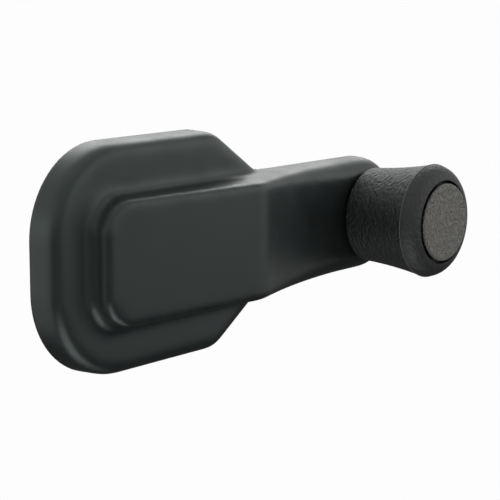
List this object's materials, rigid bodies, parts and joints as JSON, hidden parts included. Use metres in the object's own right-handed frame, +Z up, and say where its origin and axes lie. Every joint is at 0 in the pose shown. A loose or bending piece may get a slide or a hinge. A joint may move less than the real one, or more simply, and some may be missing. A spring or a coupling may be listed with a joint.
{
  "type": "window crank handle",
  "caption": "Car window crank handle: soft moulded cover with a broad pad over a cast arm, serrated spindle socket and a free-turning knob with a cap.",
  "frame": {"origin": "spindle axis at the door-side face of the hub, level with the back of the pad", "axes": "+X along the arm to the knob, +Y into the door along the spindle, +Z up"},
  "size_m": [0.1243, 0.0336, 0.0512],
  "materials": {
    "soft_pvc": "satin moulded soft PVC",
    "zinc_casting": "as-cast zinc alloy, dull grey",
    "plated_steel": "bright zinc plated",
    "black_nylon": "moulded nylon",
    "knob_moulding": "moulded ABS with leather grain",
    "cap_moulding": "moulded ABS with fine leather grain"
  },
  "bodies": {
    "handle": {"soft_cover": "soft_pvc", "crank_arm": "zinc_casting", "knob_spindle": "plated_steel", "thrust_washer": "black_nylon", "retaining_washer": "plated_steel", "retaining_clip": "plated_steel"},
    "knob": {"knob_body": "knob_moulding", "knob_cap": "cap_moulding"}
  },
  "joints": [
    {"name": "knob_spin", "type": "hinge", "parent": "handle", "child": "knob", "pos_m": [0.08, -0.011, 0], "axis": [0, -1, 0], "continuous": true}
  ]
}
